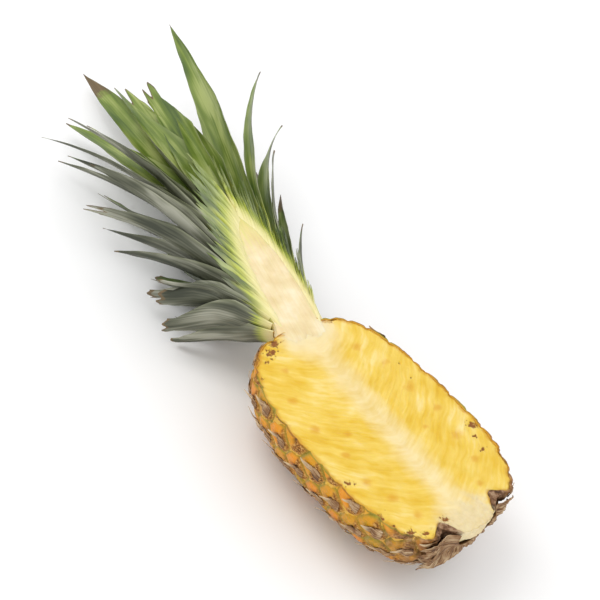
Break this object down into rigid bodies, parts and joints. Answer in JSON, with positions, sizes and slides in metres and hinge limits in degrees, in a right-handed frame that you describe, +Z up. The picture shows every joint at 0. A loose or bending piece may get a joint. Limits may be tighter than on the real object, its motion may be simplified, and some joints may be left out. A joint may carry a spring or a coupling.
{
  "type": "halved pineapple with half its crown",
  "caption": "Pineapple half cut lengthwise through fruit and leafy crown, resting on its rind with the juicy cut face up.",
  "frame": {"origin": "centre of the small flat spot on the rind that the half rests on, under the middle of the fruit", "axes": "+Z up, out of the level cut face; X along the fruit's long axis with the crown towards -X and the base towards +X; +Y across the cut face, the side that the crown leans to"},
  "size_m": [0.4078, 0.2165, 0.056],
  "materials": {
    "flesh": "satin",
    "stem_pith": "matte",
    "leaf": "satin",
    "dry_bract": "matte",
    "rind": "satin"
  },
  "bodies": {
    "root": {"fruit_half": "flesh", "crown_stem": "stem_pith", "leaf_01": "leaf", "leaf_02": "leaf", "leaf_03": "leaf", "leaf_04": "leaf", "leaf_05": "leaf", "leaf_06": "leaf", "leaf_07": "leaf", "leaf_08": "leaf", "leaf_09": "leaf", "leaf_10": "leaf", "leaf_11": "leaf", "leaf_12": "leaf", "leaf_13": "leaf", "leaf_14": "leaf", "leaf_15": "leaf", "leaf_16": "leaf", "leaf_17": "leaf", "leaf_18": "leaf", "leaf_19": "leaf", "leaf_20": "leaf", "leaf_21": "leaf", "leaf_22": "leaf", "leaf_23": "leaf", "leaf_24": "leaf", "leaf_25": "leaf", "leaf_26": "leaf", "leaf_27": "leaf", "leaf_28": "leaf", "leaf_29": "leaf", "leaf_30": "leaf", "leaf_31": "leaf", "leaf_32": "leaf", "leaf_33": "leaf", "leaf_34": "leaf", "leaf_35": "leaf", "leaf_36": "leaf", "leaf_37": "leaf", "leaf_38": "leaf", "leaf_39": "leaf", "leaf_40": "leaf", "base_bract_1": "dry_bract", "base_bract_2": "dry_bract", "base_bract_3": "dry_bract", "base_bract_4": "dry_bract", "base_bract_5": "dry_bract"}
  },
  "joints": []
}
